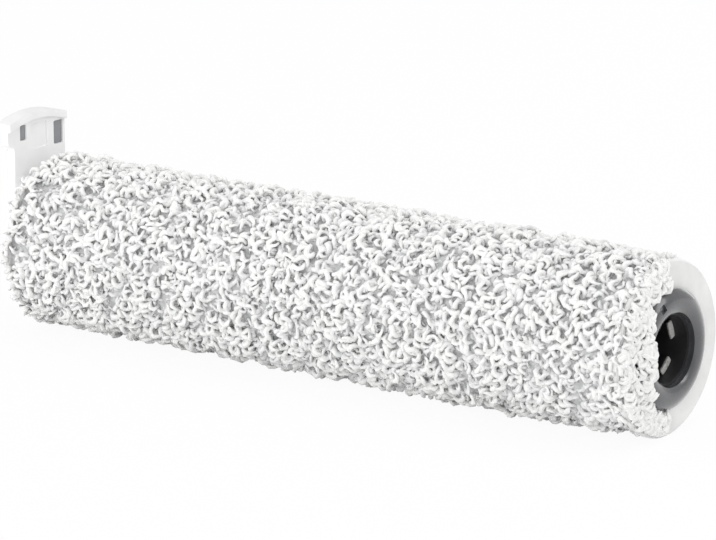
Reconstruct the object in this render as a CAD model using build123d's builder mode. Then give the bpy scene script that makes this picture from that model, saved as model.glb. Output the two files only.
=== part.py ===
import os
from math import cos, pi, radians, sin

from build123d import *

# A floor washer's brush roll: X runs along its axis, with the drive end at x = 0 facing plus X
# and the grip tab standing up at the far end. All sizes are millimetres.

# Roll: a plastic tube with a sleeve of microfibre pile between two end discs
roll_length = 229.5
pile_radius = 27.0
pile_base_radius = 23.8
flat_spot_depth = 0.8
tube_outer_radius = 18.0
tube_wall = 2.2
end_disc_radius = 26.0
end_disc_thickness = 1.6
end_disc_chamfer = 0.5
seat_gap = 0.05

# Tufts: pointed locks of pile in rings round the sleeve, each ring turned from the one before
tuft_pitch = 8.4
tuft_width = 5.4
tuft_count = 19
tuft_turn = 137.5
tuft_sway = 2.6
tuft_valley_height = 0.5
tuft_unevenness = 0.9
tuft_root_depth = 1.0

# Drive end: a beaded collar, a blind socket whose neck lines it, and a ring of lugs in the socket
lip_radius = 17.7
lip_height = 2.9
lip_bore_height = 2.1
lip_edge_height = 1.2
lip_crest_inset = 4.2
bore_radius = 10.0
neck_wall = 0.9
neck_reach = 0.2
collar_depth = 3.8
key_notch_angle = 117.0
key_notch_inset = 2.7
key_notch_width = 2.4
key_notch_length = 2.2
key_notch_depth = 0.8
socket_radius = 10.2
socket_depth = 22.0
socket_floor = 2.4
lug_count = 5
lug_angle = 22.0
lug_width = 5.4
lug_height = 2.2
lug_setback = 0.4
spider_base = 3.0

# Bearing: a deep groove ball bearing of 8 mm bore, 22 mm outside and 7 mm width
bearing_bore_radius = 4.0
bearing_outer_radius = 11.0
bearing_width = 7.0
ball_radius = 1.98
ball_pitch_radius = 7.5
ball_count = 7
race_clearance = 0.06
inner_land_radius = 6.0
outer_land_radius = 9.2
cage_thickness = 1.1
cage_width = 5.0
pocket_clearance = 0.12
shield_thickness = 0.35
shield_inset = 0.2
shield_inner_radius = 6.5
ring_chamfer = 0.3

# Carrier: the plug in the tube's far end that holds the bearing behind a spring clip
clip_setback = 1.2
clip_thickness = 1.2
clip_width = 1.4
clip_groove_depth = 0.7
clip_gap_angle = 36.0
clip_ear_radius = 1.5
clip_eye_radius = 0.7
carrier_shoulder = 5.0
carrier_shoulder_bore_radius = 8.6

# End cap: a dust flange and a small cup with a hub and ribs, closed by a cover plate
cap_gap = 1.2
dust_flange_radius = 20.0
dust_flange_chamfer = 0.6
cap_radius = 13.0
cap_floor = 2.4
cap_wall = 2.0
rim_proud = 0.6
hub_radius = 6.4
rib_count = 6
rib_thickness = 1.6
cover_thickness = 1.6
cover_gap = 0.2
cover_chamfer = 0.4
cover_recess_radius = 8.0
cover_recess_depth = 0.5

# Grip tab: a plate from the cup's rim up to a wider head with a flange, two windows and a thumb panel
tab_setback = 8.0
tab_thickness = 3.0
tab_radius = 40.2
tab_near_half_width = 14.0
tab_far_half_width = 13.2
tab_head_height = 10.0
tab_neck_inset = 3.0
tab_corner_rounding = 1.5
gusset_y = 8.0
gusset_thickness = 1.6
gusset_margin = 1.0
tab_flange_thickness = 2.4
tab_flange_depth = 5.6
tab_flange_lip = 1.0
small_window_y = -6.8
small_window_top_drop = 3.7
small_window_width = 3.0
small_window_height = 5.0
large_window_y = 10.0
large_window_top_drop = 4.8
large_window_width = 4.4
large_window_height = 7.6
window_rounding = 0.6
thumb_panel_y = 0.9
thumb_panel_top_drop = 4.0
thumb_panel_width = 7.6
thumb_panel_height = 8.2
thumb_panel_depth = 0.5

# Grip pad: soft dark backing behind the tab's head, with a peg in each window
pad_thickness = 1.0
pad_margin = 1.2
pad_ridge_count = 4
pad_ridge_spacing = 2.2
pad_ridge_width = 1.0
pad_ridge_height = 0.5
pad_ridge_top_drop = 5.0
peg_setback = 0.5

# Axle: a steel stub held in the cap's hub, with the pieces that keep it in the bearing
axle_clearance = 0.03
axle_chamfer = 0.5
axle_tail = 1.6
spacer_radius = 6.0
felt_inner_gap = 0.15
felt_outer_gap = 0.65
felt_clip_gap = 0.5
washer_radius = 6.2
washer_thickness = 0.8
e_clip_radius = 5.8
e_clip_thickness = 0.8
e_clip_groove_depth = 0.9
e_clip_mouth = 5.0

# Places along the axis
far_x = -roll_length
sleeve_far_x = far_x + end_disc_thickness
sleeve_length = roll_length - 2 * end_disc_thickness
socket_mouth_x = -collar_depth
socket_floor_x = socket_mouth_x - socket_depth
clip_x = far_x + clip_setback
bearing_far_x = clip_x + clip_thickness
bearing_middle_x = bearing_far_x + bearing_width / 2
bearing_near_x = bearing_far_x + bearing_width
cap_inner_x = far_x - cap_gap
cap_floor_x = cap_inner_x - cap_floor
tab_face_x = far_x - tab_setback
tab_back_x = tab_face_x - tab_thickness
cap_outer_x = tab_back_x - rim_proud
cover_outer_x = cap_outer_x + cover_gap
cover_seat_x = cover_outer_x + cover_thickness
felt_near_x = clip_x - felt_clip_gap
washer_near_x = bearing_near_x + washer_thickness
e_clip_near_x = washer_near_x + e_clip_thickness
axle_near_x = e_clip_near_x + axle_tail

# Fitted radii
tube_inner_radius = tube_outer_radius - tube_wall
plug_radius = tube_inner_radius - seat_gap
sleeve_bore_radius = tube_outer_radius + seat_gap
neck_radius = bore_radius + neck_wall
spider_radius = socket_radius - seat_gap
lug_inner_radius = socket_radius - lug_height
bearing_seat_radius = bearing_outer_radius + seat_gap
clip_groove_radius = bearing_seat_radius + clip_groove_depth
clip_outer_radius = clip_groove_radius - seat_gap
clip_inner_radius = clip_outer_radius - clip_width - clip_groove_depth
axle_radius = bearing_bore_radius - axle_clearance
e_clip_groove_radius = axle_radius - e_clip_groove_depth
cap_inside_radius = cap_radius - cap_wall
rim_middle_radius = cap_radius - cap_wall / 2
tab_width = tab_near_half_width + tab_far_half_width
tab_shoulder_z = tab_radius - tab_head_height
small_window_z = tab_radius - small_window_top_drop - small_window_height / 2
large_window_z = tab_radius - large_window_top_drop - large_window_height / 2
cover_radius = cap_inside_radius - cover_gap
pocket_radius = ball_radius + pocket_clearance
race_radius = ball_radius + race_clearance


def tuft_outline(ring):
    """Tips and valleys of one ring of tufts, as points in the plane across the roll."""
    step = 360 / tuft_count
    valley = pile_base_radius + tuft_valley_height
    points = []
    for tuft in range(tuft_count):
        lean = sin(radians(tuft_turn * (ring + tuft * tuft_count)))
        tip_angle = radians(ring * tuft_turn + tuft * step + tuft_sway * lean)
        valley_angle = radians(ring * tuft_turn + (tuft + 0.5) * step)
        tip = pile_radius - tuft_unevenness * (1 + lean) / 2
        points.append((tip * cos(tip_angle), tip * sin(tip_angle)))
        points.append((valley * cos(valley_angle), valley * sin(valley_angle)))
    return points


def ball_centres():
    """Centres of the bearing's balls, evenly spaced on the pitch circle."""
    centres = []
    for ball in range(ball_count):
        angle = 2 * pi * ball / ball_count
        centres.append((bearing_middle_x, ball_pitch_radius * cos(angle), ball_pitch_radius * sin(angle)))
    return centres


# Core tube
with BuildPart() as core_tube:
    with BuildSketch(Plane.YZ.offset(sleeve_far_x)):
        Circle(tube_outer_radius)
        Circle(tube_inner_radius, mode=Mode.SUBTRACT)
    extrude(amount=sleeve_length)

# Pile sleeve: a backing with rings of tufts, pressed flat where the roll lies on it
tuft_rings = int(sleeve_length // tuft_pitch)
first_ring_x = sleeve_far_x + (sleeve_length - tuft_rings * tuft_pitch + tuft_pitch - tuft_width) / 2
with BuildPart() as pile_sleeve:
    for ring in range(tuft_rings):
        with BuildSketch(Plane.YZ.offset(first_ring_x + ring * tuft_pitch)):
            with BuildLine():
                Polyline(*tuft_outline(ring), close=True)
            make_face()
            Circle(pile_base_radius - tuft_root_depth, mode=Mode.SUBTRACT)
    extrude(amount=tuft_width)
    with BuildSketch(Plane.YZ.offset(sleeve_far_x)):
        Circle(pile_base_radius)
        Circle(sleeve_bore_radius, mode=Mode.SUBTRACT)
    extrude(amount=sleeve_length)
    split(bisect_by=Plane.XY.offset(flat_spot_depth - pile_radius), keep=Keep.TOP)

# Drive end disc
with BuildPart() as drive_end_disc:
    with BuildSketch(Plane.YZ.offset(-end_disc_thickness)):
        Circle(end_disc_radius)
        Circle(plug_radius + seat_gap, mode=Mode.SUBTRACT)
    extrude(amount=end_disc_thickness)
    chamfer(drive_end_disc.faces().sort_by(Axis.X)[-1].outer_wire().edges(), end_disc_chamfer)

# Tab end disc
with BuildPart() as tab_end_disc:
    with BuildSketch(Plane.YZ.offset(far_x)):
        Circle(end_disc_radius)
        Circle(plug_radius + seat_gap, mode=Mode.SUBTRACT)
    extrude(amount=end_disc_thickness)
    chamfer(tab_end_disc.faces().sort_by(Axis.X)[0].outer_wire().edges(), end_disc_chamfer)

# Drive collar: a domed rim that stands proud of the socket's neck, with one keying notch
collar_bore_radius = neck_radius + seat_gap
with BuildPart() as drive_collar:
    with BuildSketch(Plane.XY):
        with BuildLine():
            dome = ThreePointArc(
                (lip_bore_height, collar_bore_radius),
                (lip_height, lip_radius - lip_crest_inset),
                (lip_edge_height, lip_radius),
            )
            Polyline(
                dome @ 1,
                (0, lip_radius),
                (0, plug_radius),
                (-collar_depth, plug_radius),
                (-collar_depth, collar_bore_radius),
                dome @ 0,
            )
        make_face()
    revolve(axis=Axis.X)
    with BuildSketch(Plane.YZ.offset(lip_height - key_notch_depth)):
        with PolarLocations(lip_radius - key_notch_inset, 1, start_angle=key_notch_angle):
            Rectangle(key_notch_length, key_notch_width)
    extrude(amount=lip_height, mode=Mode.SUBTRACT)

# Drive socket: a blind cup with a thin neck that stands inside the collar
neck_length = collar_depth + neck_reach
with BuildPart() as drive_socket:
    with BuildSketch(Plane.YZ.offset(socket_floor_x - socket_floor)):
        Circle(plug_radius)
    extrude(amount=socket_depth + socket_floor)
    with BuildSketch(Plane.YZ.offset(socket_mouth_x)):
        Circle(neck_radius)
    extrude(amount=neck_length)
    with BuildSketch(Plane.YZ.offset(socket_mouth_x)):
        Circle(bore_radius)
    extrude(amount=neck_length, mode=Mode.SUBTRACT)
    with BuildSketch(Plane.YZ.offset(socket_floor_x)):
        Circle(socket_radius)
    extrude(amount=socket_depth, mode=Mode.SUBTRACT)

# Drive spider: a ring on the socket's floor that carries the driving lugs
with BuildPart() as drive_spider:
    with BuildSketch(Plane.YZ.offset(socket_floor_x)):
        Circle(spider_radius)
        Circle(lug_inner_radius, mode=Mode.SUBTRACT)
    extrude(amount=spider_base)
    with BuildSketch(Plane.YZ.offset(socket_floor_x)):
        with PolarLocations(lug_inner_radius + lug_height / 2, lug_count, start_angle=lug_angle):
            Rectangle(lug_height, lug_width)
        Circle(spider_radius, mode=Mode.INTERSECT)
    extrude(amount=socket_depth - lug_setback)

# Bearing carrier: bearing seat, clip groove and shoulder
with BuildPart() as bearing_carrier:
    with BuildSketch(Plane.YZ.offset(far_x)):
        Circle(plug_radius)
        Circle(carrier_shoulder_bore_radius, mode=Mode.SUBTRACT)
    extrude(amount=bearing_near_x + carrier_shoulder - far_x)
    with BuildSketch(Plane.YZ.offset(far_x)):
        Circle(bearing_seat_radius)
    extrude(amount=bearing_near_x - far_x, mode=Mode.SUBTRACT)
    with BuildSketch(Plane.YZ.offset(clip_x)):
        Circle(clip_groove_radius)
    extrude(amount=clip_thickness, mode=Mode.SUBTRACT)

# Bearing outer ring
with BuildPart() as bearing_outer_ring:
    with BuildSketch(Plane.XY):
        with Locations((bearing_middle_x, (outer_land_radius + bearing_outer_radius) / 2)):
            Rectangle(bearing_width, bearing_outer_radius - outer_land_radius)
        with Locations((bearing_middle_x, ball_pitch_radius)):
            Circle(race_radius, mode=Mode.SUBTRACT)
    revolve(axis=Axis.X)
    outer_rims = bearing_outer_ring.edges().filter_by(GeomType.CIRCLE).group_by(SortBy.RADIUS)[-1]
    chamfer(outer_rims, ring_chamfer)

# Bearing inner ring
with BuildPart() as bearing_inner_ring:
    with BuildSketch(Plane.XY):
        with Locations((bearing_middle_x, (bearing_bore_radius + inner_land_radius) / 2)):
            Rectangle(bearing_width, inner_land_radius - bearing_bore_radius)
        with Locations((bearing_middle_x, ball_pitch_radius)):
            Circle(race_radius, mode=Mode.SUBTRACT)
    revolve(axis=Axis.X)
    circles = bearing_inner_ring.edges().filter_by(GeomType.CIRCLE)
    bore_rims = circles.filter_by(lambda rim: abs(rim.radius - bearing_bore_radius) < axle_clearance)
    chamfer(bore_rims, ring_chamfer)

# Bearing balls
with BuildPart() as bearing_balls:
    with Locations(*ball_centres()):
        Sphere(ball_radius)

# Bearing cage: a ring with a round pocket for each ball
with BuildPart() as bearing_cage:
    with BuildSketch(Plane.YZ.offset(bearing_middle_x - cage_width / 2)):
        Circle(ball_pitch_radius + cage_thickness / 2)
        Circle(ball_pitch_radius - cage_thickness / 2, mode=Mode.SUBTRACT)
    extrude(amount=cage_width)
    with Locations(*ball_centres()):
        Sphere(pocket_radius, mode=Mode.SUBTRACT)

# Bearing shields
with BuildPart() as bearing_shield_outer:
    with BuildSketch(Plane.YZ.offset(bearing_far_x + shield_inset)):
        Circle(outer_land_radius - seat_gap)
        Circle(shield_inner_radius, mode=Mode.SUBTRACT)
    extrude(amount=shield_thickness)

with BuildPart() as bearing_shield_inner:
    with BuildSketch(Plane.YZ.offset(bearing_near_x - shield_inset)):
        Circle(outer_land_radius - seat_gap)
        Circle(shield_inner_radius, mode=Mode.SUBTRACT)
    extrude(amount=-shield_thickness)

# Bearing circlip: a split ring with an eye in each ear
ear_angle = clip_gap_angle / 2
ear_centre_radius = clip_inner_radius + clip_ear_radius / 2
clip_mouth_reach = 2 * clip_outer_radius * cos(radians(ear_angle))
clip_mouth_rise = 2 * clip_outer_radius * sin(radians(ear_angle))
with BuildPart() as bearing_circlip:
    with BuildSketch(Plane.YZ.offset(clip_x)):
        Circle(clip_outer_radius)
        Circle(clip_inner_radius, mode=Mode.SUBTRACT)
        with BuildLine():
            Polyline(
                (0, 0),
                (clip_mouth_reach, clip_mouth_rise),
                (clip_mouth_reach, -clip_mouth_rise),
                close=True,
            )
        make_face(mode=Mode.SUBTRACT)
        with PolarLocations(ear_centre_radius, 2, start_angle=-ear_angle, angular_range=2 * clip_gap_angle):
            Circle(clip_ear_radius)
        Circle(clip_outer_radius, mode=Mode.INTERSECT)
        with PolarLocations(ear_centre_radius, 2, start_angle=-ear_angle, angular_range=2 * clip_gap_angle):
            Circle(clip_eye_radius, mode=Mode.SUBTRACT)
    extrude(amount=clip_thickness)

# End cap: dust flange, cup, hub and ribs
with BuildPart() as end_cap:
    with BuildSketch(Plane.YZ.offset(cap_floor_x)):
        Circle(dust_flange_radius)
    extrude(amount=cap_floor)
    chamfer(end_cap.edges().filter_by(GeomType.CIRCLE), dust_flange_chamfer)
    with BuildSketch(Plane.YZ.offset(cap_outer_x)):
        Circle(cap_radius)
        Circle(cap_inside_radius, mode=Mode.SUBTRACT)
    extrude(amount=cap_floor_x - cap_outer_x)
    with BuildSketch(Plane.YZ.offset(cover_seat_x)):
        Circle(hub_radius)
        with PolarLocations(0, rib_count):
            with Locations((rim_middle_radius / 2, 0)):
                Rectangle(rim_middle_radius, rib_thickness)
        Circle(rim_middle_radius, mode=Mode.INTERSECT)
    extrude(amount=cap_floor_x - cover_seat_x)
    # Grip tab: a neck with one stepped side and a wider head under an arc round the roll's axis
    with BuildSketch(Plane.YZ.offset(tab_back_x)) as tab_outline:
        with Locations((tab_far_half_width, tab_radius)):
            Rectangle(tab_width - tab_neck_inset, tab_radius, align=(Align.MAX, Align.MAX))
            Rectangle(tab_width, tab_head_height, align=(Align.MAX, Align.MAX))
        shoulder_corners = tab_outline.vertices().filter_by(
            lambda corner: abs(corner.Y - tab_shoulder_z) < seat_gap
        )
        fillet(shoulder_corners.sort_by(Axis.X)[:2], tab_corner_rounding)
        Circle(tab_radius, mode=Mode.INTERSECT)
        Circle(rim_middle_radius, mode=Mode.SUBTRACT)
    extrude(amount=tab_thickness)
    with BuildSketch(Plane.YZ.offset(tab_face_x + tab_flange_lip)):
        Circle(tab_radius)
        Circle(tab_radius - tab_flange_thickness, mode=Mode.SUBTRACT)
        with Locations((tab_far_half_width, tab_radius)):
            Rectangle(tab_width, tab_head_height, align=(Align.MAX, Align.MAX), mode=Mode.INTERSECT)
    extrude(amount=-tab_flange_depth)
    # Gussets that brace the neck against the dust flange
    with BuildSketch(Plane.YZ.offset(tab_face_x)):
        with Locations((-gusset_y, 0), (gusset_y, 0)):
            Rectangle(gusset_thickness, dust_flange_radius, align=(Align.CENTER, Align.MIN))
        Circle(dust_flange_radius - gusset_margin, mode=Mode.INTERSECT)
        Circle(rim_middle_radius, mode=Mode.SUBTRACT)
    extrude(amount=cap_floor_x - tab_face_x)
    with BuildSketch(Plane.YZ.offset(tab_face_x)):
        with Locations((small_window_y, small_window_z)):
            RectangleRounded(small_window_width, small_window_height, window_rounding)
        with Locations((large_window_y, large_window_z)):
            RectangleRounded(large_window_width, large_window_height, window_rounding)
    extrude(amount=-tab_thickness, mode=Mode.SUBTRACT)
    with BuildSketch(Plane.YZ.offset(tab_face_x)):
        with Locations((thumb_panel_y, tab_radius - thumb_panel_top_drop - thumb_panel_height / 2)):
            RectangleRounded(thumb_panel_width, thumb_panel_height, window_rounding)
    extrude(amount=-thumb_panel_depth, mode=Mode.SUBTRACT)
    with BuildSketch(Plane.YZ.offset(cap_inner_x)):
        Circle(axle_radius + axle_clearance)
    extrude(amount=cover_seat_x - cap_inner_x, mode=Mode.SUBTRACT)

# Grip pad: a plate under the tab's flange, ridged for the fingers, with a peg in each window
pad_width = tab_width - 2 * pad_margin
pad_far_y = tab_far_half_width - pad_margin
pad_top_radius = tab_radius - tab_flange_thickness - seat_gap
pad_head_z = tab_shoulder_z + pad_margin
pad_neck_z = large_window_z - large_window_height / 2 - pad_margin
pad_ridge_middle_z = tab_radius - pad_ridge_top_drop - pad_ridge_spacing * (pad_ridge_count - 1) / 2
peg_length = tab_thickness - peg_setback
peg_play = 2 * seat_gap
peg_rounding = window_rounding - seat_gap
with BuildPart() as grip_pad:
    with BuildSketch(Plane.YZ.offset(tab_back_x)):
        with Locations((pad_far_y, pad_top_radius)):
            Rectangle(pad_width, pad_top_radius - pad_head_z, align=(Align.MAX, Align.MAX))
            Rectangle(pad_width - tab_neck_inset, pad_top_radius - pad_neck_z, align=(Align.MAX, Align.MAX))
        Circle(pad_top_radius, mode=Mode.INTERSECT)
    extrude(amount=-pad_thickness)
    with BuildSketch(Plane.YZ.offset(tab_back_x - pad_thickness)):
        with Locations((0, pad_ridge_middle_z)):
            with GridLocations(0, pad_ridge_spacing, 1, pad_ridge_count):
                Rectangle(pad_width - 2 * tab_neck_inset, pad_ridge_width)
    extrude(amount=-pad_ridge_height)
    with BuildSketch(Plane.YZ.offset(tab_back_x)):
        with Locations((small_window_y, small_window_z)):
            RectangleRounded(small_window_width - peg_play, small_window_height - peg_play, peg_rounding)
        with Locations((large_window_y, large_window_z)):
            RectangleRounded(large_window_width - peg_play, large_window_height - peg_play, peg_rounding)
    extrude(amount=peg_length)

# Axle cover: the plate that closes the cap's cup, seated on its ribs
with BuildPart() as axle_cover:
    with BuildSketch(Plane.YZ.offset(cover_outer_x)):
        Circle(cover_radius)
    extrude(amount=cover_thickness)
    chamfer(axle_cover.edges().sort_by(Axis.X)[0], cover_chamfer)
    with BuildSketch(Plane.YZ.offset(cover_outer_x)):
        Circle(cover_recess_radius)
    extrude(amount=cover_recess_depth, mode=Mode.SUBTRACT)

# Stub axle
with BuildPart() as stub_axle:
    with BuildSketch(Plane.YZ.offset(cover_seat_x)):
        Circle(axle_radius)
    extrude(amount=axle_near_x - cover_seat_x)
    chamfer(stub_axle.edges().filter_by(GeomType.CIRCLE), axle_chamfer)
    with BuildSketch(Plane.YZ.offset(washer_near_x)):
        Circle(axle_radius)
        Circle(e_clip_groove_radius, mode=Mode.SUBTRACT)
    extrude(amount=e_clip_thickness, mode=Mode.SUBTRACT)

# Axle spacer
with BuildPart() as axle_spacer:
    with BuildSketch(Plane.YZ.offset(cap_inner_x)):
        Circle(spacer_radius)
        Circle(bearing_bore_radius, mode=Mode.SUBTRACT)
    extrude(amount=bearing_far_x - cap_inner_x)

# Felt seal: on the cap's inner face, round the spacer
with BuildPart() as felt_seal:
    with BuildSketch(Plane.YZ.offset(cap_inner_x)):
        Circle(bearing_seat_radius - felt_outer_gap)
        Circle(spacer_radius + felt_inner_gap, mode=Mode.SUBTRACT)
    extrude(amount=felt_near_x - cap_inner_x)

# Axle washer
with BuildPart() as axle_washer:
    with BuildSketch(Plane.YZ.offset(bearing_near_x)):
        Circle(washer_radius)
        Circle(bearing_bore_radius, mode=Mode.SUBTRACT)
    extrude(amount=washer_thickness)

# Axle clip: an open ring pushed into the axle's groove from above
with BuildPart() as axle_e_clip:
    with BuildSketch(Plane.YZ.offset(washer_near_x)):
        Circle(e_clip_radius)
        Circle(e_clip_groove_radius + axle_clearance, mode=Mode.SUBTRACT)
        Rectangle(e_clip_mouth, 2 * e_clip_radius, align=(Align.CENTER, Align.MAX), mode=Mode.SUBTRACT)
    extrude(amount=e_clip_thickness)

pieces = {
    "core_tube": core_tube,
    "pile_sleeve": pile_sleeve,
    "drive_end_disc": drive_end_disc,
    "tab_end_disc": tab_end_disc,
    "drive_collar": drive_collar,
    "drive_socket": drive_socket,
    "drive_spider": drive_spider,
    "bearing_carrier": bearing_carrier,
    "bearing_outer_ring": bearing_outer_ring,
    "bearing_inner_ring": bearing_inner_ring,
    "bearing_balls": bearing_balls,
    "bearing_cage": bearing_cage,
    "bearing_shield_outer": bearing_shield_outer,
    "bearing_shield_inner": bearing_shield_inner,
    "bearing_circlip": bearing_circlip,
    "end_cap": end_cap,
    "grip_pad": grip_pad,
    "axle_cover": axle_cover,
    "stub_axle": stub_axle,
    "axle_spacer": axle_spacer,
    "felt_seal": felt_seal,
    "axle_washer": axle_washer,
    "axle_e_clip": axle_e_clip,
}

os.makedirs("parts", exist_ok=True)
for name, piece in pieces.items():
    piece.part.label = name
    export_step(piece.part, f"parts/{name}.step")
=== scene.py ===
from math import cos, pi, radians, sin

import bpy
import numpy as np
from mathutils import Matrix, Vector


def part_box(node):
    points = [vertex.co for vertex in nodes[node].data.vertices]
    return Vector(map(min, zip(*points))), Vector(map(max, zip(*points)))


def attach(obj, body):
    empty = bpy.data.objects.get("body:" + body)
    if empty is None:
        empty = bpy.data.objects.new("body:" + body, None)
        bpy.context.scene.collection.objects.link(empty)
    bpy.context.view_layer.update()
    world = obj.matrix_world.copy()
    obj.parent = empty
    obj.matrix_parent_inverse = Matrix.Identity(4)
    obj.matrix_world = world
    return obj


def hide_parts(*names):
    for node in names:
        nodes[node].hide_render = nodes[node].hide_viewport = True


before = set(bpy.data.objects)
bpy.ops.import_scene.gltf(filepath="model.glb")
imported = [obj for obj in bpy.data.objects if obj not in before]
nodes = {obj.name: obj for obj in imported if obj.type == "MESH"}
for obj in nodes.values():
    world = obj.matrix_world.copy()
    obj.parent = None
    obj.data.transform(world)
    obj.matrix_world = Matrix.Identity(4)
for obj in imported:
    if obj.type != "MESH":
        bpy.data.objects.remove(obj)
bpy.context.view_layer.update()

mm = 0.001
print("frame loaded:", len(nodes), "nodes")


# Small helpers

def deselectAll():
    bpy.ops.object.select_all(action="DESELECT")


def linear(hexColour):  # sRGB hex to the linear values that shaders take
    values = []
    for start in (1, 3, 5):
        channel = int(hexColour[start:start + 2], 16) / 255
        values.append(channel / 12.92 if channel <= 0.04045 else ((channel + 0.055) / 1.055) ** 2.4)
    return (*values, 1)


def perMm(sizeMm):  # texture scale at which one feature is about this many millimetres
    return 1 / (sizeMm * mm)


def addNode(tree, kind, settings=None, inputs=None):
    node = tree.nodes.new(kind)
    for name, value in (settings or {}).items():
        setattr(node, name, value)
    for name, value in (inputs or {}).items():
        if isinstance(value, bpy.types.NodeSocket):
            tree.links.new(value, node.inputs[name])
        else:
            node.inputs[name].default_value = value
    return node


def newMaterial(name):
    material = bpy.data.materials.new(name)
    material.use_nodes = True
    tree = material.node_tree
    return material, tree, tree.nodes["Principled BSDF"]


def setRamp(ramp, stops):
    elements = ramp.color_ramp.elements
    while len(elements) < len(stops):
        elements.new(1)  # its place is set below
    for element, (place, colour) in zip(elements, stops):
        element.position = place
        element.color = linear(colour)


def addBump(tree, shader, height, distanceMm):
    bump = addNode(tree, "ShaderNodeBump", None, {"Height": height, "Distance": distanceMm * mm})
    tree.links.new(bump.outputs["Normal"], shader.inputs["Normal"])


# Pile finish: split microfibre, with painted shade: darker down at the curls' roots than at their crowns

pileLook = {
    # root to crown colours: painted shade for the shadow down in the pile, not the yarn's own colour
    "root": "#d8d8d8",
    "middle": "#ebebeb",
    "crown": "#f4f4f3",
    "fibreMm": 0.5,  # real fibres are finer, drawn this coarse so that they show
    "fibreDepthMm": 0.14,
    "middleAt": 0.45,  # share of the way from the root to the crown
    "roughness": 0.95,
    "specular": 0.2,
    "sheen": 0.25,
    "sheenRoughness": 0.5,
}


def makePileMaterial(look):
    # split microfibre: matt, with a soft sheen where the light grazes it
    material, tree, shader = newMaterial("white split microfibre")
    coords = addNode(tree, "ShaderNodeTexCoord")
    crown = addNode(tree, "ShaderNodeAttribute", {"attribute_name": "crown"})  # from 0 at the root to 1 at the crown, which sets the painted shade
    ramp = addNode(tree, "ShaderNodeValToRGB", None, {"Fac": crown.outputs["Fac"]})
    setRamp(ramp, [(0, look["root"]), (look["middleAt"], look["middle"]), (1, look["crown"])])
    fibres = addNode(tree, "ShaderNodeTexNoise", None, {
        "Vector": coords.outputs["Object"], "Scale": perMm(look["fibreMm"]), "Detail": 3, "Roughness": 0.6})
    tree.links.new(ramp.outputs["Color"], shader.inputs["Base Color"])
    addBump(tree, shader, fibres.outputs["Fac"], look["fibreDepthMm"])
    shader.inputs["Roughness"].default_value = look["roughness"]
    shader.inputs["Specular IOR Level"].default_value = look["specular"]
    shader.inputs["Sheen Weight"].default_value = look["sheen"]
    shader.inputs["Sheen Roughness"].default_value = look["sheenRoughness"]
    return material


backingLook = {
    # the backing's grey tone is painted shade under the pile; the yarn and gap stitch pattern is the knit's
    # own
    "yarn": "#d0d0d0",
    "gap": "#b4b5b6",
    "yarnTo": 0.1,  # share of a stitch from its middle that is all yarn
    "gapFrom": 0.7,
    "stitchMm": 1.2,
    "depthMm": 0.3,
    "specular": 0.1,
}


def makeBackingMaterial(look):
    # knitted polyester backing: tinted grey as painted shade under the pile, with a small stitch
    material, tree, shader = newMaterial("knitted polyester backing")
    coords = addNode(tree, "ShaderNodeTexCoord")
    stitches = addNode(tree, "ShaderNodeTexVoronoi", {"feature": "SMOOTH_F1"}, {
        "Vector": coords.outputs["Object"], "Scale": perMm(look["stitchMm"])})
    ramp = addNode(tree, "ShaderNodeValToRGB", None, {"Fac": stitches.outputs["Distance"]})
    setRamp(ramp, [(look["yarnTo"], look["yarn"]), (look["gapFrom"], look["gap"])])
    tree.links.new(ramp.outputs["Color"], shader.inputs["Base Color"])
    addBump(tree, shader, stitches.outputs["Distance"], look["depthMm"])
    shader.inputs["Roughness"].default_value = 1.0
    shader.inputs["Specular IOR Level"].default_value = look["specular"]
    return material


# Moulded plastics: one recipe, with its own colour, gloss and mould grain for each piece

plasticLooks = {
    "white moulded ABS disc": {
        "colour": "#ececeb", "shade": "#e2e2e1", "roughness": 0.45, "grainMm": 0.45, "grainDepthMm": 0.03,
        "mottleMm": 9, "coat": 0.0},
    "white moulded ABS cap": {
        "colour": "#f4f4f4", "shade": "#eeeeee", "roughness": 0.42, "grainMm": 0.5, "grainDepthMm": 0.03,
        "mottleMm": 7, "coat": 0.05},
    "grey moulded ABS collar": {
        "colour": "#47484b", "shade": "#404144", "roughness": 0.25, "grainMm": 0.6, "grainDepthMm": 0.02,
        "mottleMm": 6, "coat": 1.0},
    # the grip pad's grey is painted shade: it stands in for the shade down in the tab's slots
    "grey elastomer in place of slot shade": {
        "colour": "#96979a", "shade": "#8a8b8e", "roughness": 0.7, "grainMm": 0.4, "grainDepthMm": 0.05,
        "mottleMm": 5, "coat": 0.0},
    "black moulded nylon": {
        "colour": "#2a2a2c", "shade": "#202022", "roughness": 0.5, "grainMm": 0.5, "grainDepthMm": 0.04,
        "mottleMm": 4, "coat": 0.0},
    "natural acetal": {
        "colour": "#e9e8e3", "shade": "#dddcd6", "roughness": 0.34, "grainMm": 0.6, "grainDepthMm": 0.015,
        "mottleMm": 5, "coat": 0.1},
    "extruded ABS tube": {
        "colour": "#d4d5d6", "shade": "#c8c9cb", "roughness": 0.4, "grainMm": 0.8, "grainDepthMm": 0.02,
        "mottleMm": 8, "coat": 0.0},
}
mouldFinish = {
    "shadeTo": 0.35,  # shares of the mottle's range
    "colourFrom": 0.65,
    "glossSpread": 0.06,
    "ior": 1.5,
    "coatRoughness": 0.12,
}


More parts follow.
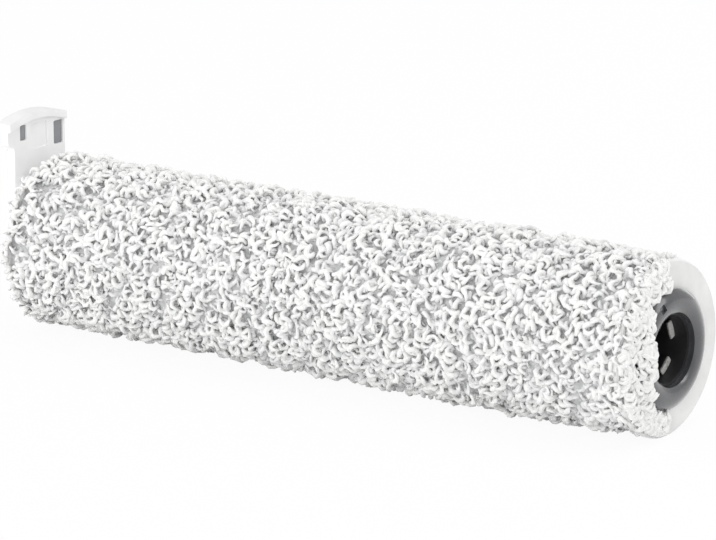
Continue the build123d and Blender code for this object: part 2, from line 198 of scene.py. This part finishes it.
def makePlastic(name, look, mould):
    # moulded plastic: even colour, with the fine grain of the mould in its gloss
    material, tree, shader = newMaterial(name)
    coords = addNode(tree, "ShaderNodeTexCoord")
    mottle = addNode(tree, "ShaderNodeTexNoise", None, {
        "Vector": coords.outputs["Object"], "Scale": perMm(look["mottleMm"]), "Detail": 2})
    ramp = addNode(tree, "ShaderNodeValToRGB", None, {"Fac": mottle.outputs["Fac"]})
    setRamp(ramp, [(mould["shadeTo"], look["shade"]), (mould["colourFrom"], look["colour"])])
    tree.links.new(ramp.outputs["Color"], shader.inputs["Base Color"])
    grain = addNode(tree, "ShaderNodeTexNoise", None, {
        "Vector": coords.outputs["Object"], "Scale": perMm(look["grainMm"]), "Detail": 2})
    gloss = addNode(tree, "ShaderNodeMapRange", None, {
        "Value": grain.outputs["Fac"],
        "To Min": look["roughness"] - mould["glossSpread"],
        "To Max": look["roughness"] + mould["glossSpread"],
    })
    tree.links.new(gloss.outputs["Result"], shader.inputs["Roughness"])
    addBump(tree, shader, grain.outputs["Fac"], look["grainDepthMm"])
    shader.inputs["IOR"].default_value = mould["ior"]
    shader.inputs["Coat Weight"].default_value = look["coat"]
    shader.inputs["Coat Roughness"].default_value = mould["coatRoughness"]
    return material


steelLooks = {
    "ground bearing steel": {"colour": "#b9babd", "roughness": 0.3, "lineMm": 0.18, "depthMm": 0.006},
    "polished ball steel": {"colour": "#d2d3d6", "roughness": 0.08, "lineMm": 1.2, "depthMm": 0.001},
    "black oxide spring steel": {"colour": "#2b2c2f", "roughness": 0.42, "lineMm": 0.4, "depthMm": 0.01},
}
steelLines = {
    "stretch": (1, 0.15, 0.15),  # fine along the axis and long round it
    "brightest": 0.8,  # shares of a look's roughness
    "dullest": 1.2,
}


def makeSteel(name, look, worked):
    # steel worked by turning or grinding, so fine lines run round its axis
    material, tree, shader = newMaterial(name)
    coords = addNode(tree, "ShaderNodeTexCoord")
    stretch = addNode(tree, "ShaderNodeMapping", None, {
        "Vector": coords.outputs["Object"], "Scale": worked["stretch"]})
    lines = addNode(tree, "ShaderNodeTexNoise", None, {
        "Vector": stretch.outputs["Vector"], "Scale": perMm(look["lineMm"]), "Detail": 3})
    gloss = addNode(tree, "ShaderNodeMapRange", None, {
        "Value": lines.outputs["Fac"],
        "To Min": look["roughness"] * worked["brightest"],
        "To Max": look["roughness"] * worked["dullest"],
    })
    tree.links.new(gloss.outputs["Result"], shader.inputs["Roughness"])
    addBump(tree, shader, lines.outputs["Fac"], look["depthMm"])
    shader.inputs["Base Color"].default_value = linear(look["colour"])
    shader.inputs["Metallic"].default_value = 1.0
    return material


feltLook = {
    "light": "#5a5a5c",
    "dark": "#363638",
    "darkTo": 0.35,
    "lightFrom": 0.7,
    "fibreMm": 0.5,
    "tangle": 1.5,
    "depthMm": 0.15,
    "sheen": 0.2,
}


def makeFelt(look):
    # pressed wool felt: matted fibres with no direction
    material, tree, shader = newMaterial("pressed wool felt")
    coords = addNode(tree, "ShaderNodeTexCoord")
    fibres = addNode(tree, "ShaderNodeTexNoise", None, {
        "Vector": coords.outputs["Object"], "Scale": perMm(look["fibreMm"]),
        "Detail": 5, "Distortion": look["tangle"]})
    ramp = addNode(tree, "ShaderNodeValToRGB", None, {"Fac": fibres.outputs["Fac"]})
    setRamp(ramp, [(look["darkTo"], look["dark"]), (look["lightFrom"], look["light"])])
    tree.links.new(ramp.outputs["Color"], shader.inputs["Base Color"])
    addBump(tree, shader, fibres.outputs["Fac"], look["depthMm"])
    shader.inputs["Roughness"].default_value = 1.0
    shader.inputs["Sheen Weight"].default_value = look["sheen"]
    return material


lugLook = {
    "paintedHighlight": "#d6d5d1",
    "body": "#1f1f20",
    "bodyTo": 0.15,
    "paintedHighlightFrom": 0.45,
    "paintedHighlightMm": 1.0,  # how far down from the lug ends the painted highlight reaches
    "scuffMm": 0.5,
    "scuffDepthMm": 0.03,
    "roughness": 0.4,
}


def makeLugMaterial(look):
    # glass-filled nylon: dark, with a pale painted highlight on the lug ends
    material, tree, shader = newMaterial("dark glass-filled nylon with painted highlight")
    coords = addNode(tree, "ShaderNodeTexCoord")
    place = addNode(tree, "ShaderNodeSeparateXYZ", None, {"Vector": coords.outputs["Object"]})
    scuffs = addNode(tree, "ShaderNodeTexNoise", None, {
        "Vector": coords.outputs["Object"], "Scale": perMm(look["scuffMm"]), "Detail": 4})
    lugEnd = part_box("drive_spider")[1].x
    depth = addNode(tree, "ShaderNodeMapRange", None, {
        "Value": place.outputs["X"], "From Min": lugEnd - look["paintedHighlightMm"] * mm, "From Max": lugEnd})
    ragged = addNode(tree, "ShaderNodeMath", {"operation": "MULTIPLY"}, {
        0: depth.outputs["Result"], 1: scuffs.outputs["Fac"]})
    # painted highlight: the lug ends are coloured pale where glints would fall, with a ragged edge
    ramp = addNode(tree, "ShaderNodeValToRGB", None, {"Fac": ragged.outputs["Value"]})
    setRamp(ramp, [(look["bodyTo"], look["body"]), (look["paintedHighlightFrom"], look["paintedHighlight"])])
    tree.links.new(ramp.outputs["Color"], shader.inputs["Base Color"])
    addBump(tree, shader, scuffs.outputs["Fac"], look["scuffDepthMm"])
    shader.inputs["Roughness"].default_value = look["roughness"]
    return material


materials = {name: makePlastic(name, look, mouldFinish) for name, look in plasticLooks.items()}
materials.update({name: makeSteel(name, look, steelLines) for name, look in steelLooks.items()})
materials["pressed wool felt"] = makeFelt(feltLook)
materials["dark glass-filled nylon with painted highlight"] = makeLugMaterial(lugLook)
pileMaterial = makePileMaterial(pileLook)
backingMaterial = makeBackingMaterial(backingLook)

nodeFinishes = {
    "core_tube": "extruded ABS tube",
    "drive_end_disc": "white moulded ABS disc",
    "tab_end_disc": "white moulded ABS disc",
    "drive_collar": "grey moulded ABS collar",
    "drive_socket": "black moulded nylon",
    "drive_spider": "dark glass-filled nylon with painted highlight",
    "bearing_carrier": "black moulded nylon",
    "bearing_outer_ring": "ground bearing steel",
    "bearing_inner_ring": "ground bearing steel",
    "bearing_balls": "polished ball steel",
    "bearing_cage": "natural acetal",
    "bearing_shield_outer": "ground bearing steel",
    "bearing_shield_inner": "ground bearing steel",
    "bearing_circlip": "black oxide spring steel",
    "end_cap": "white moulded ABS cap",
    "grip_pad": "grey elastomer in place of slot shade",
    "axle_cover": "white moulded ABS cap",
    "stub_axle": "ground bearing steel",
    "axle_spacer": "natural acetal",
    "felt_seal": "pressed wool felt",
    "axle_washer": "ground bearing steel",
    "axle_e_clip": "black oxide spring steel",
}
for nodeName, finish in nodeFinishes.items():
    nodes[nodeName].data.materials.clear()
    nodes[nodeName].data.materials.append(materials[finish])
print("finishes given to", len(nodeFinishes), "nodes")


# Pile backing: the knitted sleeve that the curls stand on

sleeveLow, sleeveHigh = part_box("pile_sleeve")
sleeveLength = sleeveHigh.x - sleeveLow.x
sleeveMiddle = (sleeveHigh.x + sleeveLow.x) / 2
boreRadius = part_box("core_tube")[1].y
backing = {"radius": 24.6 * mm, "sides": 96, "boreGap": 0.05 * mm, "sharpDeg": 30}


def modelBacking(settings):
    deselectAll()
    bpy.ops.mesh.primitive_cylinder_add(
        vertices=settings["sides"], radius=settings["radius"], depth=sleeveLength,
        end_fill_type="NOTHING", location=(sleeveMiddle, 0, 0), rotation=(0, pi / 2, 0))
    sleeve = bpy.context.active_object
    sleeve.name = "pile_backing"
    bpy.ops.object.transform_apply(location=True, rotation=True, scale=True)
    wall = sleeve.modifiers.new("wall", "SOLIDIFY")
    wall.thickness = settings["radius"] - boreRadius - settings["boreGap"]
    wall.offset = -1
    bpy.ops.object.modifier_apply(modifier=wall.name)
    bpy.ops.object.shade_smooth_by_angle(angle=radians(settings["sharpDeg"]))
    sleeve.data.materials.append(backingMaterial)
    return sleeve


pileBacking = modelBacking(backing)
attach(pileBacking, "roll")
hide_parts("pile_sleeve")
print("backing modelled")


# Curls: short loops of yarn, modelled once each and then set all over the sleeve

curlShapes = [
    {"loopMm": 1.45, "yarnMm": 0.78, "cutMm": -0.80, "twistDeg": 60},
    {"loopMm": 1.85, "yarnMm": 0.72, "cutMm": -0.50, "twistDeg": -100},
    {"loopMm": 1.20, "yarnMm": 0.84, "cutMm": -0.70, "twistDeg": 30},
    {"loopMm": 2.20, "yarnMm": 0.70, "cutMm": 0.20, "twistDeg": 120},
]
curlDetail = {"segments": 12, "sides": 6}
lowDetail = {"segments": 8, "sides": 4}  # for the curls underneath


def modelCurl(shape, detail):
    deselectAll()
    bpy.ops.mesh.primitive_torus_add(
        major_segments=detail["segments"], minor_segments=detail["sides"],
        major_radius=shape["loopMm"] * mm, minor_radius=shape["yarnMm"] * mm, rotation=(pi / 2, 0, 0))
    curl = bpy.context.active_object
    bpy.ops.object.transform_apply(location=True, rotation=True, scale=True)
    bpy.ops.object.mode_set(mode="EDIT")
    bpy.ops.mesh.select_all(action="SELECT")
    bpy.ops.mesh.bisect(
        plane_co=(0, 0, shape["cutMm"] * mm), plane_no=(0, 0, 1), clear_inner=True, use_fill=True)
    bpy.ops.object.mode_set(mode="OBJECT")
    turn = curl.modifiers.new("twist", "SIMPLE_DEFORM")
    turn.deform_method = "TWIST"
    turn.deform_axis = "Z"
    turn.angle = radians(shape["twistDeg"])
    bpy.ops.object.modifier_apply(modifier=turn.name)
    points = np.array([vertex.co for vertex in curl.data.vertices])
    faces = [list(face.vertices) for face in curl.data.polygons]
    bpy.data.objects.remove(curl)
    return points, faces


curlModels = [modelCurl(shape, curlDetail) for shape in curlShapes]
lowModels = [modelCurl(shape, lowDetail) for shape in curlShapes]
print("curls modelled with", [len(faces) for points, faces in curlModels + lowModels], "faces")


# Rims of the end discs: the far one lies under the pile, the drive one only on one side

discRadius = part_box("drive_end_disc")[1].y
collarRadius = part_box("drive_collar")[1].y
discGap = 0.15 * mm
discClear = 2.2 * mm  # kept free behind the drive disc where its rim is bare
coveredRim = {"fromDeg": 99, "toDeg": 228}  # measured from plus Y towards plus Z


# Pile: an undercoat and a layer of curls over it

pile = {
    "seed": 7,
    "spacingMm": 2.5,  # from one curl to the next, along and around
    "jitterMm": 1.2,
    "baseRadiusMm": 25.0,  # where a curl's middle sits
    "baseSpreadMm": 0.7,
    "partingMm": 1.2,  # how far the pile sinks where it parts
    "partingSizeMm": 13,
    "sizes": (0.8, 1.15),
    "leanDeg": 42,
    "overhangMm": 1.6,  # past the sleeve, over the discs' rims
    "flatLeanDeg": 78,  # of the curls that lie over a rim
    "rimLiftMm": 0.6,
    "tuckMm": 1.6,  # pressed in under the drive end
    "tuckLengthMm": 45,
    "bands": 5,
}
undercoat = {
    "seed": 31,
    "spacingMm": 2.75,
    "jitterMm": 1.2,
    "baseRadiusMm": 24.5,
    "baseSpreadMm": 0.4,
    "partingMm": 0.5,
    "partingSizeMm": 13,
    "sizes": (0.6, 0.85),
    "leanDeg": 50,
    "overhangMm": -1.2,
    "flatLeanDeg": 78,
    "rimLiftMm": 0.6,
    "tuckMm": 0.8,
    "tuckLengthMm": 45,
    "bands": 2,
}
pileDepth = {"rootMm": 24.4, "crownMm": 26.6}  # radius at which the yarn is darkest and lightest, the depth range of its painted shade
partingWaves = {
    "count": 5,
    "paces": (0.6, 1.6),
    "fullDepth": 2,  # sum of the waves at which the pile has sunk by its partingMm
}


def partings(alongX, angle, settings, rng):
    # slow waves that cross at odd angles, so the pile rises and sinks without a pattern
    turns = 2 * pi / (settings["partingSizeMm"] * mm)
    around = angle * settings["baseRadiusMm"] * mm
    height = np.zeros(len(alongX))
    for wave in range(partingWaves["count"]):
        heading = rng.uniform(0, pi)
        pace = turns * rng.uniform(*partingWaves["paces"])
        height += np.sin(pace * (alongX * cos(heading) + around * sin(heading)) + rng.uniform(0, 2 * pi))
    return np.minimum(height, 0) * settings["partingMm"] * mm / partingWaves["fullDepth"]


def placeCurls(settings):
    # rows along the roll, every other row shifted by half a step, then shaken
    rng = np.random.default_rng(settings["seed"])
    step = settings["spacingMm"] * mm
    middleRadius = settings["baseRadiusMm"] * mm
    firstX = sleeveLow.x - settings["overhangMm"] * mm
    pileLength = sleeveLength + 2 * settings["overhangMm"] * mm
    rows = int(pileLength / step)
    around = int(2 * pi * middleRadius / step)
    row, place = np.meshgrid(np.arange(rows), np.arange(around), indexing="ij")
    row = row.ravel()
    place = place.ravel() + 0.5 * (row % 2)
    count = len(row)
    shake = settings["jitterMm"] * mm
    alongX = firstX + (row + 0.5) * pileLength / rows + rng.uniform(-shake, shake, count)
    angle = 2 * pi * place / around + rng.uniform(-shake, shake, count) / middleRadius
    angle = angle % (2 * pi)
    bare = (angle < radians(coveredRim["fromDeg"])) | (angle > radians(coveredRim["toDeg"]))
    alongX = np.where(bare, np.minimum(alongX, sleeveHigh.x - discClear), alongX)
    radius = middleRadius + rng.uniform(-1, 1, count) * settings["baseSpreadMm"] * mm
    radius += partings(alongX, angle, settings, rng)
    nearEnd = np.clip(1 - (sleeveHigh.x - alongX) / (settings["tuckLengthMm"] * mm), 0, 1)
    radius -= settings["tuckMm"] * mm * nearEnd * np.maximum(-np.sin(angle), 0)
    yaw = rng.uniform(0, 2 * pi, count)
    lean = np.radians(rng.normal(0, settings["leanDeg"], count))
    size = rng.uniform(*settings["sizes"], count)
    kind = rng.integers(0, len(curlModels), count)
    overRim = (alongX > sleeveHigh.x) | (alongX < sleeveLow.x)
    radius = np.where(overRim, np.maximum(radius, discRadius + settings["rimLiftMm"] * mm), radius)
    lean = np.where(overRim, radians(settings["flatLeanDeg"]), lean)
    size = np.where(overRim, settings["sizes"][0], size)
    yaw = np.where(alongX < sleeveLow.x, yaw % pi, yaw)  # the far rim's curls lie back towards the pile
    return alongX, angle, radius, yaw, lean, size, kind, overRim


def turnedCurl(points, x, angle, radius, yaw, lean, size):
    # lean about the curl's own line, turn about the roll's radius, then set on the sleeve
    wide = points[:, 0] * size
    thick = (points[:, 1] * cos(lean) - points[:, 2] * sin(lean)) * size
    out = (points[:, 1] * sin(lean) + points[:, 2] * cos(lean)) * size
    along = wide * cos(yaw) - thick * sin(yaw)
    sideways = wide * sin(yaw) + thick * cos(yaw)
    lifted = radius + out
    return np.column_stack((
        x + along,
        lifted * cos(angle) - sideways * sin(angle),
        lifted * sin(angle) + sideways * cos(angle),
    ))


def clearOfDiscs(points, overRim):
    # a curl over a rim lies on it, and any other curl stays behind the disc
    radius = np.hypot(points[:, 1], points[:, 2])
    beyond = (points[:, 0] > sleeveHigh.x - discGap) | (points[:, 0] < sleeveLow.x + discGap)
    inside = beyond & (radius < discRadius + discGap)
    if overRim:
        lift = np.where(inside, (discRadius + discGap) / radius, 1)
        points[:, 1] *= lift
        points[:, 2] *= lift
    else:
        held = np.clip(points[:, 0], sleeveLow.x + discGap, sleeveHigh.x - discGap)
        points[:, 0] = np.where(inside, held, points[:, 0])
    return points


def joinCurls(name, points, faces, crown):
    points[:, 2] = np.maximum(points[:, 2], sleeveLow.z)  # flat where the roll lies
    mesh = bpy.data.meshes.new(name)
    mesh.from_pydata(points.tolist(), [], faces)
    mesh.shade_smooth()
    heights = mesh.attributes.new("crown", "FLOAT", "POINT")
    heights.data.foreach_set("value", np.clip(crown, 0, 1).astype(np.float32))
    mesh.materials.append(pileMaterial)
    piece = bpy.data.objects.new(name, mesh)
    bpy.context.scene.collection.objects.link(piece)
    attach(piece, "roll")


def modelPile(name, settings, models):
    alongX, angle, radius, yaw, lean, size, kind, overRim = placeCurls(settings)
    bands = settings["bands"]
    bandOf = np.clip(((alongX - sleeveLow.x) / sleeveLength * bands).astype(int), 0, bands - 1)
    rootRadius = pileDepth["rootMm"] * mm
    depth = pileDepth["crownMm"] * mm - rootRadius
    for band in range(bands):
        points = []
        faces = []
        start = 0
        for curl in np.flatnonzero(bandOf == band):
            shapePoints, shapeFaces = models[kind[curl]]
            placed = turnedCurl(
                shapePoints, alongX[curl], angle[curl], radius[curl], yaw[curl], lean[curl], size[curl])
            points.append(clearOfDiscs(placed, overRim[curl]))
            faces.extend([[start + corner for corner in face] for face in shapeFaces])
            start += len(placed)
        allPoints = np.concatenate(points)
        # painted shade: the yarn's colour darkens with its depth in the pile
        crown = (np.hypot(allPoints[:, 1], allPoints[:, 2]) - rootRadius) / depth
        joinCurls(name + "_" + str(band + 1), allPoints, faces, crown)
    print(name, "set with", len(alongX), "curls in", bands, "bands")


# Fringe: curls that flop over the drive end disc and collar on one side of the roll

fringe = {
    "seed": 19,
    "count": 430,
    "toDeg": 264,  # it starts with the covered rim and goes on below it
    "outerMm": (26.4, 23.6),  # from its top end to its lower end
    "innerMm": 18.8,  # how near it comes to the axis at its ends
    "reachMm": 7.5,  # how much nearer in its middle, over the collar
    "reachPower": 3,  # higher keeps the reach to the middle
    "leastInnerMm": 12.2,
    "raggedMm": 1.0,
    "liftMm": (0.0, 0.8),  # off the disc or the collar
    "sizes": (0.75, 1.05),
    "leanDeg": 28,
    "crownDepthMm": 2.2,
    "leastCrown": 0.45,
}
collarDome = {"centreMm": 13.78, "sinkMm": -2.45, "radiusMm": 5.36, "skirtMm": 2.5}  # the rim's round top


def groundUnder(radius):
    # how far the collar's rim lifts what lies on the disc, sloping off just outside it
    across = min(radius, collarRadius) / mm - collarDome["centreMm"]
    rim = np.sqrt(max(collarDome["radiusMm"] ** 2 - across ** 2, 0)) + collarDome["sinkMm"]
    outside = max(radius - collarRadius, 0) / mm / collarDome["skirtMm"]
    return max(rim * (1 - outside), 0) * mm


def modelFringe(settings):
    rng = np.random.default_rng(settings["seed"])
    fromDeg = coveredRim["fromDeg"]
    topOuter, lowOuter = settings["outerMm"]
    points = []
    faces = []
    crown = []
    start = 0
    for curl in range(settings["count"]):
        share = rng.uniform(0, 1)
        angle = radians(fromDeg + share * (settings["toDeg"] - fromDeg))
        reach = settings["reachMm"] * sin(pi * share) ** settings["reachPower"]
        inner = max(settings["innerMm"] - reach, settings["leastInnerMm"])
        inner += settings["raggedMm"] * rng.uniform(0, 1)
        outer = topOuter + share ** 2 * (lowOuter - topOuter)
        radius = np.sqrt(rng.uniform(inner ** 2, outer ** 2)) * mm
        ground = groundUnder(radius)
        lift = ground + rng.uniform(*settings["liftMm"]) * mm
        shapePoints, shapeFaces = curlModels[rng.integers(0, len(curlModels))]
        # a curl at the origin, whose second column is its height off the disc
        spread = turnedCurl(
            shapePoints, 0, 0, 0, rng.uniform(0, 2 * pi), radians(rng.normal(0, settings["leanDeg"])),
            rng.uniform(*settings["sizes"]))
        height = np.maximum(lift + spread[:, 1], ground + discGap)
        placed = np.column_stack((
            height,
            radius * cos(angle) + spread[:, 0] * cos(angle) - spread[:, 2] * sin(angle),
            radius * sin(angle) + spread[:, 0] * sin(angle) + spread[:, 2] * cos(angle),
        ))
        points.append(placed)
        # painted shade: a fringe curl's yarn is darker where it lies low on the disc or collar
        crown.append(settings["leastCrown"] + (height - ground) / (settings["crownDepthMm"] * mm))
        faces.extend([[start + corner for corner in face] for face in shapeFaces])
        start += len(placed)
    joinCurls("pile_fringe", np.concatenate(points), faces, np.concatenate(crown))
    print("fringe set with", settings["count"], "curls")


modelPile("pile_undercoat", undercoat, lowModels)
modelPile("pile_curls", pile, curlModels)
modelFringe(fringe)


# Floor, light and camera

floorLook = {"colour": "#f4f4f4", "size": 8.0, "whiteShare": 0.94}


def makeFloorMaterial(look):
    # matt paper sweep: white to the camera, with part of its shade left for the shadow
    material, tree, shader = newMaterial("white paper sweep")
    shader.inputs["Base Color"].default_value = linear(look["colour"])
    shader.inputs["Roughness"].default_value = 1.0
    shader.inputs["Specular IOR Level"].default_value = 0.0
    rays = addNode(tree, "ShaderNodeLightPath")
    seen = addNode(tree, "ShaderNodeMath", {"operation": "MAXIMUM"}, {
        0: rays.outputs["Is Camera Ray"], 1: rays.outputs["Is Glossy Ray"]})
    seenThrough = addNode(tree, "ShaderNodeMath", {"operation": "MAXIMUM"}, {
        0: seen.outputs["Value"], 1: rays.outputs["Is Transmission Ray"]})
    share = addNode(tree, "ShaderNodeMath", {"operation": "MULTIPLY"}, {
        0: seenThrough.outputs["Value"], 1: look["whiteShare"]})
    white = addNode(tree, "ShaderNodeEmission", None, {"Color": (1, 1, 1, 1), "Strength": 1.0})
    mix = addNode(tree, "ShaderNodeMixShader", None, {
        "Fac": share.outputs["Value"], 1: shader.outputs["BSDF"], 2: white.outputs["Emission"]})
    tree.links.new(mix.outputs["Shader"], tree.nodes["Material Output"].inputs["Surface"])
    return material


deselectAll()
bpy.ops.mesh.primitive_plane_add(size=floorLook["size"], location=(sleeveMiddle, 0, sleeveLow.z))
floor = bpy.context.active_object
floor.name = "floor"
floor.data.materials.append(makeFloorMaterial(floorLook))

worldLook = {"ambient": 0.7}


def makeWorld(look):
    world = bpy.data.worlds.new("soft white studio")
    world.use_nodes = True
    tree = world.node_tree
    rays = addNode(tree, "ShaderNodeLightPath")
    seen = addNode(tree, "ShaderNodeMath", {"operation": "MAXIMUM"}, {
        0: rays.outputs["Is Camera Ray"], 1: rays.outputs["Is Transmission Ray"]})
    strength = addNode(tree, "ShaderNodeMapRange", None, {
        "Value": seen.outputs["Value"], "To Min": look["ambient"], "To Max": 1.0})
    background = tree.nodes["Background"]
    background.inputs["Color"].default_value = (1, 1, 1, 1)
    tree.links.new(strength.outputs["Result"], background.inputs["Strength"])
    bpy.context.scene.world = world


makeWorld(worldLook)

lamps = {
    "key": {"place": (-0.75, -1.05, 0.25), "size": (0.8, 0.4), "power": 4.2},
    "front": {"place": (0.7, -1.8, 0.45), "size": (1.4, 1.4), "power": 9.6},
    "top": {"place": (0.3, 0.2, 1.1), "size": (0.8, 0.8), "power": 2.7},
    "back": {"place": (-0.5, 1.7, 0.45), "size": (1.4, 1.4), "power": 5.5},
    "strip": {"place": (1.0, 0.6, 0.65), "size": (0.45, 0.8), "power": 2.2},  # for the collar's highlights
}
rollMiddle = Vector((sleeveMiddle, 0, 0))
for lampName, lamp in lamps.items():
    light = bpy.data.lights.new(lampName, "AREA")
    light.shape = "ELLIPSE"
    light.size, light.size_y = lamp["size"]
    light.energy = lamp["power"]
    lightObject = bpy.data.objects.new(lampName, light)
    lightObject.location = lamp["place"]
    lightObject.rotation_euler = (rollMiddle - Vector(lamp["place"])).to_track_quat("-Z", "Y").to_euler()
    bpy.context.scene.collection.objects.link(lightObject)

view = {
    "place": (0.62433, -0.98137, 0.31008),
    "azimuthDeg": 36.83,
    "elevationDeg": 13.89,
    "lensMm": 211.18,
    "sensorMm": 36,
}


def addCamera(settings):
    turn = radians(settings["azimuthDeg"])
    rise = radians(settings["elevationDeg"])
    back = Vector((sin(turn) * cos(rise), -cos(turn) * cos(rise), sin(rise)))
    camera = bpy.data.cameras.new("camera")
    camera.lens = settings["lensMm"]
    camera.sensor_width = settings["sensorMm"]
    cameraObject = bpy.data.objects.new("camera", camera)
    cameraObject.location = settings["place"]
    cameraObject.rotation_euler = (-back).to_track_quat("-Z", "Y").to_euler()
    bpy.context.scene.collection.objects.link(cameraObject)
    bpy.context.scene.camera = cameraObject


addCamera(view)
bpy.context.scene.view_settings.view_transform = "Standard"
print("floor, light and camera set")
